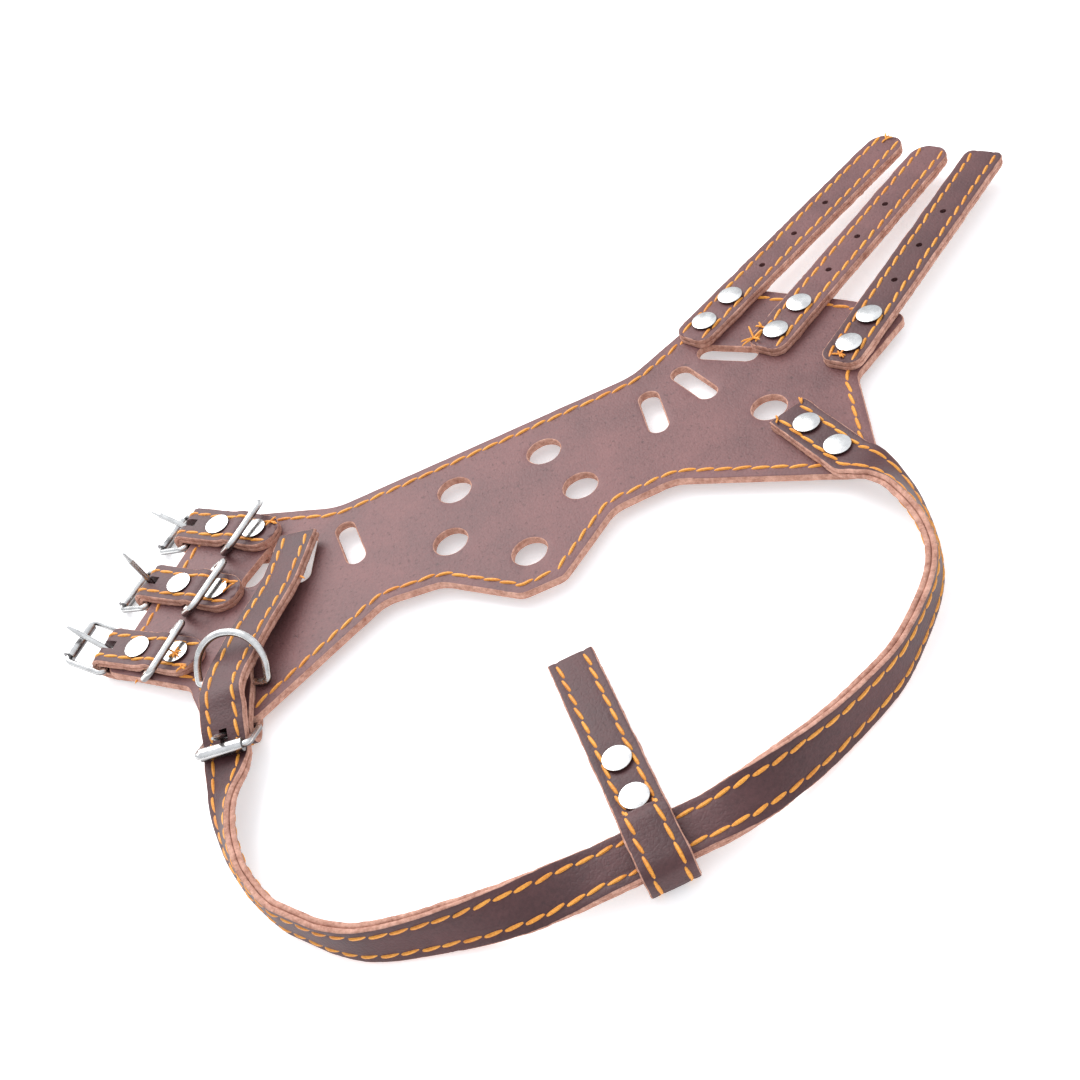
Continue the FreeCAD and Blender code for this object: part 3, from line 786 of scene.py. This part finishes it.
def panelSeamLine():
    outline = np.array(panelEdge())
    ahead = np.roll(outline, -1, 0) - np.roll(outline, 1, 0)
    ahead /= np.linalg.norm(ahead, axis=1)[:, None]
    inner = outline + np.stack([-ahead[:, 1], ahead[:, 0]], 1) * panel["inset"]
    nearest = np.array([np.min(np.hypot(*(outline - spot).T)) for spot in inner])
    inner = inner[nearest > panel["inset"] * 0.985]
    return np.vstack([inner, inner[:1]])


def makePanel():
    piece = copyOf(frame["nodes"]["panel"])
    piece.parent = None
    for key in list(piece.keys()):
        del piece[key]
    piece.name = "panel_leather"
    only(piece)
    bpy.ops.object.mode_set(mode="EDIT")
    bpy.ops.mesh.select_all(action="SELECT")
    bpy.ops.mesh.remove_doubles(threshold=weld)
    bpy.ops.mesh.dissolve_limited(angle_limit=math.radians(1))
    bpy.ops.object.mode_set(mode="OBJECT")
    rounded = piece.modifiers.new("rounded", "BEVEL")
    rounded.width = panel["bevel"]
    rounded.segments = 3
    rounded.limit_method = "ANGLE"
    rounded.angle_limit = math.radians(50)
    rounded.use_clamp_overlap = False
    bpy.ops.object.modifier_apply(modifier=rounded.name)
    low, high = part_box("panel")
    bpy.ops.object.mode_set(mode="EDIT")
    for axis in (0, 1):
        normal = [0, 0, 0]
        normal[axis] = 1
        for place in np.arange(low[axis] + 2 * mm, high[axis] - mm, panel["grid"]):
            point = [0, 0, 0]
            point[axis] = place
            bpy.ops.mesh.select_all(action="SELECT")
            bpy.ops.mesh.bisect(plane_co=point, plane_no=normal)
    bpy.ops.mesh.select_all(action="SELECT")
    bpy.ops.mesh.bisect(plane_co=(0, 0, (low.z + high.z) / 2), plane_no=(0, 0, 1))
    bpy.ops.mesh.select_all(action="SELECT")
    bpy.ops.mesh.remove_doubles(threshold=weld)
    bpy.ops.object.mode_set(mode="OBJECT")
    mesh = piece.data
    raw = np.zeros(len(mesh.vertices), np.float32)
    for face in mesh.polygons:
        if abs(face.normal.z) < 0.72:
            for index in face.vertices:
                raw[index] = 1.0
    markPoints(mesh, "rawEdge", raw)
    for vertex, edge in zip(mesh.vertices, raw):
        wave = noise.noise(Vector((vertex.co.x * 38, vertex.co.y * 38, 0.3)))
        rough = noise.noise_vector(vertex.co * 500) * edge * panel["fray"]
        vertex.co.z -= (0.5 + 0.5 * wave) * panel["sag"]
        vertex.co += rough
    dress(piece, leatherSurface, panel["tone"])
    settle(piece, ["panel"])
    inner = panelSeamLine()
    first = panel["seamFirst"]
    rows = []
    for level, side in ((high.z, 1), (low.z, -1)):
        line = course([(x, y, level) for x, y in inner], [(0, 0, side)] * len(inner))
        rows.append(({"line": line}, 0.0, panel["seamLevel"], first, line["length"] - first, panel["pitch"]))
    settle(seam("panel_stitches", rows))


makePanel()
print("panel made")

# billets: places along each from its root, in mm; loose thread as along, aside, height, strands, length,
# where a negative along counts back from the far end
billets = {
    "names": ("1", "2", "3"),
    "rivets": ((9.5, 24.5), (9.0, 24.0), (9.3, 24.3)),
    "rootRadius": 5.0 * mm,
    "tips": (6.8, 6.8, 3.5),
    # share of painted sheen on each billet's leather
    "paintedSheens": (0.75, 0.75, 0.15),
    "holes": (43.5, 63.0, 82.5),
    "holeRadius": 1.15 * mm,
    "cutDepth": 12.0 * mm,
    "reach": 5.0 * mm,          # of the bend to either side of its line
    "loose": (((123.5, 1.0, 1.9, 4, 4.0),), ((3.0, 5.4, 1.9, 6, 6.5), (9.0, 6.0, 1.9, 3, 4.0)),
              ((3.4, 0.4, 1.9, 6, 3.6),)),
}


def makeBillets():
    for number, name in enumerate(billets["names"]):
        root = {kind: f"billet_{name}_root_{kind}" for kind in ("face", "lining")}
        free = {kind: f"billet_{name}_free_{kind}" for kind in ("face", "lining")}
        hinge = Vector(joints[f"billet_{name}_bend"]["axis"]).normalized()
        outward = hinge.cross(up)
        if spread(free["face"], outward)[1] < spread(root["face"], outward)[1]:
            outward = -outward
        aside = up.cross(outward)
        first = spread(root["face"], outward)[0]
        last = spread(free["face"], outward)[1]
        middle = sum(spread(root["face"], aside)) / 2
        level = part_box(root["face"])[0].z
        start = outward * first + aside * middle + up * level
        end = outward * last + aside * middle + up * level
        form = {"line": straight(start, end), "ends": (billets["rootRadius"], billets["tips"][number] * mm),
                "seed": 3.0 * number, "tone": billets["paintedSheens"][number], "loose": billets["loose"][number],
                "rivets": [place * mm for place in billets["rivets"][number]], "shown": (1, 0)}
        bendLine = outward * spread(free["face"], outward)[0] + aside * middle + up * level
        bend = (bendLine - outward * billets["reach"], bendLine + outward * billets["reach"])
        holes = [start + outward * place * mm for place in billets["holes"]]
        cutters = [lambda spot=spot: cutterRod(spot, billets["holeRadius"], billets["cutDepth"])
                   for spot in holes]
        nodes = {kind: [root[kind], free[kind]] for kind in ("face", "lining")}
        sew(f"billet_{name}", form, nodes, f"billet_{name}", bend, cutters)


makeBillets()
print("billets made")

# folded tabs and the neck chape: heel bar to round end, rivets and keeper seat from the heel bar, in mm
tab = {"length": 40.0, "rivets": (13.4, 30.4), "seat": 21.9, "slant": 0.0}
folds = {f"tab_{number}": {**tab, "joint": f"buckle_{number}_tilt"} for number in (1, 2, 3)}
folds["neck_chape"] = {"length": 34.0, "rivets": (11.5, 26.5), "seat": 19.0, "slant": 16.0,
                       "joint": "neck_roller_spin"}
# the keeper's wire lifts the leather by "lift" at its lower face, middle and upper face
fold = {
    # share of painted sheen on the tabs' and chape's leather
    "tone": 0.25,
    "loose": {"tab_1": ((-4.5, 4.4, 2.0, 5, 3.6),),
              "tab_2": ((-7.0, 4.6, 2.0, 3, 3.4), (-4.5, 1.0, 2.4, 2, 4.0)),
              "tab_3": ((-8.6, -1.0, 3.0, 6, 3.8), (-3.5, -5.6, 1.9, 4, 3.0), (-33.0, -7.0, -4.6, 2, 5.0),
                        (-24.0, -7.4, -4.2, 2, 5.0))},
    "slotWidth": 3.2 * mm,
    "slotInward": 2.9 * mm,
    "seamFirst": 2.2 * mm,
    "lift": (2.75 * mm, 1.5 * mm, 1.4 * mm),
    "spread": 3.4 * mm,
}


def heelOf(name):
    spec = folds[name]
    joint = joints[spec["joint"]]
    bar = Vector(joint["axis"]).normalized()
    outward = bar.cross(up).normalized()
    if Vector(joint["pos_m"]).dot(outward) < 0:
        outward = -outward
    low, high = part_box(f"{name}_face")
    far = spread(f"{name}_face", outward)[1]
    aside = up.cross(outward)
    middle = sum(spread(f"{name}_face", aside)) / 2
    panelLow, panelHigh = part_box("panel")
    radius = (high.z - low.z) / 2
    heel = outward * (far - radius) + aside * middle + up * ((low.z + high.z) / 2)
    return heel, outward, (panelHigh.z - panelLow.z) / 2


def makeFolds():
    for number, (name, spec) in enumerate(folds.items()):
        heel, outward, inner = heelOf(name)
        radius = inner + strap["ply"]
        back = -spec["length"] * mm
        turn = radius - weld
        line = bent([(back, -radius, 0), (radius, -radius, turn), (radius, radius, turn), (back, radius, 0)],
                    heel, outward)
        total = line["length"]
        tops = [total - (spec["length"] - place) * mm for place in spec["rivets"]]
        lows = [(spec["length"] - place) * mm for place in spec["rivets"]]
        swell = {"place": total - (spec["length"] - spec["seat"]) * mm, "slant": math.radians(spec["slant"])}
        form = {"line": line, "ends": (strap["width"] / 2, strap["width"] / 2), "seed": 20 + 5.0 * number,
                "shown": (1, 0), "loose": fold["loose"].get(name), "tone": fold["tone"],
                "rivets": tops + lows, "swell": swell}
        aside = up.cross(outward)
        reach = radius + strap["ply"] + mm

        def slotCutter():
            middle = heel + outward * (reach - fold["slotInward"]) / 2
            sizes = (reach + fold["slotInward"], fold["slotWidth"], 4 * reach)
            return cutterBox(middle, (outward, aside, up), sizes)

        nodes = {kind: [f"{name}_{kind}"] for kind in ("face", "lining")}
        sew(name, form, nodes, cutters=[slotCutter], seams=seamRows(form, (1,), fold["seamFirst"]))


makeFolds()
print("tabs made")

# neck strap, in mm and degrees; stations are x, y, height of its middle, lean outward of its grain side
neck = {
    "start": (96.2, -21.0),
    "heading": -73.7,
    "rivets": (10.7, 26.7),
    "held": 32.7,               # length that lies on the panel
    "right": [(108.2, -58.0, 10.7, 10), (111.0, -63.6, 10.1, 32), (112.9, -70.2, 9.0, 50),
              (113.5, -78.7, 8.7, 63), (113.3, -88.1, 8.3, 75), (111.85, -97.6, 8.3, 84),
              (108.9, -106.9, 8.3, 90), (102.7, -116.8, 8.3, 93), (89.4, -131.0, 8.3, 90),
              (79.7, -138.3, 8.3, 84), (59.7, -148.2, 8.3, 74), (40.0, -155.0, 8.4, 52)],
    "slide": (4.0, -160.1),
    "slideHeading": 3.0,
    "slideHalf": 17.0,
    "slideLean": 12.0,
    "left": [(-38.0, -160.6, 8.4, 50), (-60, -157.3, 8.3, 76), (-79.8, -152.0, 8.3, 87),
             (-91.7, -143.8, 8.3, 92), (-102.4, -132.4, 8.3, 92), (-110.2, -117.4, 8.3, 84),
             (-113.05, -107.8, 8.3, 76), (-114.8, -98.5, 8.3, 66), (-115.2, -89.2, 8.4, 54),
             (-114.6, -80.3, 8.2, 36)],
    "tail": [(-105.2, -36.1, 15.6, 4), (-101.7, -29.6, 14.8, 4), (-95.0, -19.3, 14.6, 6),
             (-90.0, -11.0, 13.2, 7), (-83.8, -0.5, 11.8, 8), (-78.6, 10.3, 11.3, 7),
             (-73.7, 21.0, 10.8, 6)],
    "gap": 0.4,                 # slack between the strap and what it passes
    "rollerRadius": 2.2,
    "prongAngle": 47.0,
    "prongMiddle": 13.0 * mm,
    "prongCut": (30.0 * mm, 2.6 * mm, 4.4 * mm),
    "steps": 10,                # rows of the strap between two stations
    "seed": 70.0,
    "loose": ((-22.0, -8.0, 0.2, 1, 5.5), (1.5, 5.0, 1.9, 2, 3.0), (1.5, -5.0, 1.9, 2, 3.0)),
}


# stations from under the buckle's roller to over the chape's fold, in mm
def buckleClimb(heel, roller, outward):
    thick = strap["ply"] / mm
    panelLow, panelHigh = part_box("panel")
    rollerAway = neck["rollerRadius"] + thick + neck["gap"]
    foldAway = (panelHigh.z - panelLow.z) / 2 / mm + 3 * thick + neck["gap"]
    level = (roller - heel).dot(outward) / mm
    rise = (roller.z - heel.z) / mm
    slope = math.asin((rollerAway + foldAway) / math.hypot(level, rise)) - math.atan2(rise, level)
    heelZ, rollerZ = heel.z / mm, roller.z / mm
    leave = (level - rollerAway * math.sin(slope), rollerZ - rollerAway * math.cos(slope))
    meet = (foldAway * math.sin(slope), heelZ + foldAway * math.cos(slope))
    lowest, highest = rollerZ - rollerAway, heelZ + foldAway
    path = [(level + 6.0, lowest - 0.4, 14), (level + 0.4, lowest - 0.05, 0), (leave[0] - 0.1, leave[1], 0),
            ((leave[0] + meet[0]) / 2, (leave[1] + meet[1]) / 2, 0), (meet[0] - 0.3, meet[1] + 0.1, 0),
            (-2.5, highest + 1.1, 0), (-8.5, highest + 3.0, 4)]
    return [(heel.x / mm + outward.x * away, heel.y / mm + outward.y * away, height, lean)
            for away, height, lean in path]


def smooth(stations, steps):
    rows = [stations[0]]
    last = len(stations) - 1
    for index in range(1, last):
        before, here, after = stations[index - 1], stations[index], stations[index + 1]
        held = here[2:] == after[2:]
        beyond = stations[min(index + 2, last)]
        spans = [math.dist(a[:3], b[:3]) or 1.0 for a, b in ((before, here), (here, after), (after, beyond))]
        for step in range(steps):
            t = step / steps
            row = []
            for axis in range(4):
                leaving = (after[axis] - before[axis]) / (spans[0] + spans[1]) * spans[1]
                arriving = (beyond[axis] - here[axis]) / (spans[1] + spans[2]) * spans[1]
                if held:
                    leaving = arriving = after[axis] - here[axis]
                row.append((2 * t ** 3 - 3 * t ** 2 + 1) * here[axis] + (t ** 3 - 2 * t ** 2 + t) * leaving
                           + (3 * t ** 2 - 2 * t ** 3) * after[axis] + (t ** 3 - t ** 2) * arriving)
            rows.append(tuple(row))
    rows.append(stations[last])
    return rows


# height of the neck strap's middle where the slide loop holds it, in mm
def slideRest():
    lean = math.radians(neck["slideLean"])
    half = strap["width"] / 2 / mm
    thick = strap["ply"] / mm
    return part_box("panel")[0].z / mm + neck["gap"] + half * math.sin(lean) + thick * math.cos(lean)


def makeNeckStrap():
    heel, outward, _ = heelOf("neck_chape")
    roller = Vector(joints["neck_roller_spin"]["pos_m"])
    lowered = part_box("panel")[1].z / mm + strap["ply"] / mm
    start = Vector((*neck["start"], 0))
    held = start + heading(neck["heading"]) * neck["held"]
    middle = Vector((*neck["slide"], 0))
    rest = slideRest()
    front = []
    for offset in (neck["slideHalf"], 0, -neck["slideHalf"]):
        spot = middle + heading(neck["slideHeading"]) * offset
        front.append((spot.x, spot.y, rest, neck["slideLean"]))
    stations = [(start.x, start.y, lowered, 0), (held.x, held.y, lowered, 0)] + neck["right"] + front
    stations += neck["left"] + buckleClimb(heel, roller, outward) + neck["tail"]
    rows = smooth(stations, neck["steps"])
    points, normals = [], []
    for index, (x, y, z, leaning) in enumerate(rows):
        before = Vector(rows[max(index - 1, 0)][:3])
        after = Vector(rows[min(index + 1, len(rows) - 1)][:3])
        along = (after - before).normalized()
        aside = Vector((-along.y, along.x, 0)).normalized()
        above = aside.cross(along)
        if above.z < 0:
            above = -above
        angle = math.radians(leaning)
        points.append(Vector((x, y, z)) * mm)
        normals.append(above * math.cos(angle) + aside * math.sin(angle))
    form = {"line": course(points, normals), "rivets": [place * mm for place in neck["rivets"]],
            "seed": neck["seed"], "loose": neck["loose"]}
    tilt = math.radians(neck["prongAngle"])
    reach = outward * math.cos(tilt) + up * math.sin(tilt)
    across = up.cross(outward)

    def prongCutter():
        middle = heel + reach * neck["prongMiddle"]
        return cutterBox(middle, (reach, across, reach.cross(across)), neck["prongCut"])

    nodes = {kind: [f"neck_strap_{kind}"] for kind in ("face", "lining")}
    sew("neck_strap", form, nodes, cutters=[prongCutter])


makeNeckStrap()
print("neck strap made")

# slide loop, folded round the neck strap
loop = {"length": 78.0, "lowerEnd": 40.0, "rivets": (18.3, 33.1), "foot": 12.4, "footRadius": 2.5,
        "crestRadius": 3.5, "noseRadius": 2.4, "slack": (0.6, 0.4, 0.3), "seed": 110.0}


def makeSlideLoop():
    lean = math.radians(neck["slideLean"])
    thick = strap["ply"] / mm
    half = strap["width"] / 2 / mm
    gap = neck["gap"]
    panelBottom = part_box("panel")[0].z / mm
    rest = slideRest()
    lower = panelBottom - thick
    rise = panelBottom + thick
    top = rest + half * math.sin(lean) + thick * math.cos(lean) + gap + thick
    nose = -(half * math.cos(lean) + thick * math.sin(lean) + gap + thick)
    noseTop = rest - half * math.sin(lean) + thick * math.cos(lean) + gap + thick
    crest = half * math.cos(lean)
    out, over, front = loop["slack"]
    route = [(loop["length"], rise, 0), (loop["foot"], rise, loop["footRadius"]),
             (crest + out, top + over, loop["crestRadius"]), (nose, noseTop + front, loop["noseRadius"]),
             (nose, lower, loop["noseRadius"]), (loop["lowerEnd"], lower, 0)]
    outward = heading(neck["slideHeading"] + 90)
    origin = Vector((*neck["slide"], 0)) * mm
    line = bent([tuple(value * mm for value in stop) for stop in route], origin, outward)
    tops = [(loop["length"] - place) * mm for place in loop["rivets"]]
    lows = [line["length"] - (loop["lowerEnd"] - place) * mm for place in loop["rivets"]]
    form = {"line": line, "rivets": tops + lows, "seed": loop["seed"], "shown": (1, 0)}
    nodes = {kind: [f"slide_loop_{kind}"] for kind in ("face", "lining")}
    sew("slide_loop", form, nodes, "slide_loop")


makeSlideLoop()
print("slide loop made")

# rivets: a domed cap with a pressed rim, modelled once; its rings are inset and rise, in mm
rivet = {"radius": 4.5 * mm, "edge": 0.38 * mm, "bevel": 0.14 * mm, "lean": 1.5,
         "rings": ((0.55, -0.09), (0.22, 0.21), (0.80, 0.20), (0.90, 0.11), (0.90, 0.05), (0.60, 0.01))}


def makeCap():
    bpy.ops.object.select_all(action="DESELECT")
    bpy.ops.mesh.primitive_cylinder_add(vertices=36, radius=rivet["radius"], depth=rivet["edge"],
                                        location=(0, 0, rivet["edge"] / 2))
    cap = bpy.context.object
    cap.data.transform(cap.matrix_world)
    cap.matrix_world = Matrix.Identity(4)
    for face in cap.data.polygons:
        face.select = face.normal.z > 0.9
    bpy.ops.object.mode_set(mode="EDIT")
    bpy.ops.mesh.select_mode(type="FACE")
    for inset, rise in rivet["rings"]:
        bpy.ops.mesh.inset(thickness=inset * mm)
        bpy.ops.transform.translate(value=(0, 0, rise * mm))
    bpy.ops.object.mode_set(mode="OBJECT")
    rounded = cap.modifiers.new("rounded", "BEVEL")
    rounded.width = rivet["bevel"]
    rounded.segments = 2
    rounded.angle_limit = math.radians(50)
    bpy.ops.object.modifier_apply(modifier=rounded.name)
    return cap


def capPlaces(name):
    only(copyOf(frame["nodes"][name]))
    bpy.ops.object.mode_set(mode="EDIT")
    bpy.ops.mesh.select_all(action="SELECT")
    bpy.ops.mesh.remove_doubles(threshold=weld)
    bpy.ops.mesh.separate(type="LOOSE")
    bpy.ops.object.mode_set(mode="OBJECT")
    places = []
    for part in list(bpy.context.selected_objects):
        corners = [vertex.co for vertex in part.data.vertices]
        low = Vector(min(corner[axis] for corner in corners) for axis in range(3))
        high = Vector(max(corner[axis] for corner in corners) for axis in range(3))
        places.append((low, high))
        bpy.data.objects.remove(part)
    middle = sum((low.z + high.z) / 2 for low, high in places) / len(places)
    spots = []
    for low, high in places:
        centre = (low + high) / 2
        upward = centre.z > middle
        spots.append((Vector((centre.x, centre.y, low.z if upward else high.z)), upward))
    return spots


def makeRivets():
    cap = makeCap()
    for label in ("billet", "tab", "chape", "neck", "loop"):
        node = f"{label}_rivet_caps"
        made = []
        for spot, upward in capPlaces(node):
            copied = copyOf(cap)
            lean = vary(rivet["lean"])
            turn = Matrix.Rotation(math.radians(lean if upward else 180.0), 4, "X")
            copied.data.transform(Matrix.Translation(spot) @ turn)
            made.append(copied)
        piece = joined(made, f"{label}_rivet_domes")
        dress(piece, nickelSurface)
        settle(piece, [node], "slide_loop" if label == "loop" else "harness")
    bpy.data.objects.remove(cap)


makeRivets()
print("rivets made")

# the metal nodes stay as they are, in nickel
for name, node in frame["nodes"].items():
    if any(word in name for word in ("frame", "roller", "prong", "keeper", "caps", "posts")):
        for place in node.material_slots:
            place.material = nickelSurface
        if not node.material_slots:
            node.data.materials.append(nickelSurface)
bpy.data.objects.remove(oneStitch)
print("metal finished")
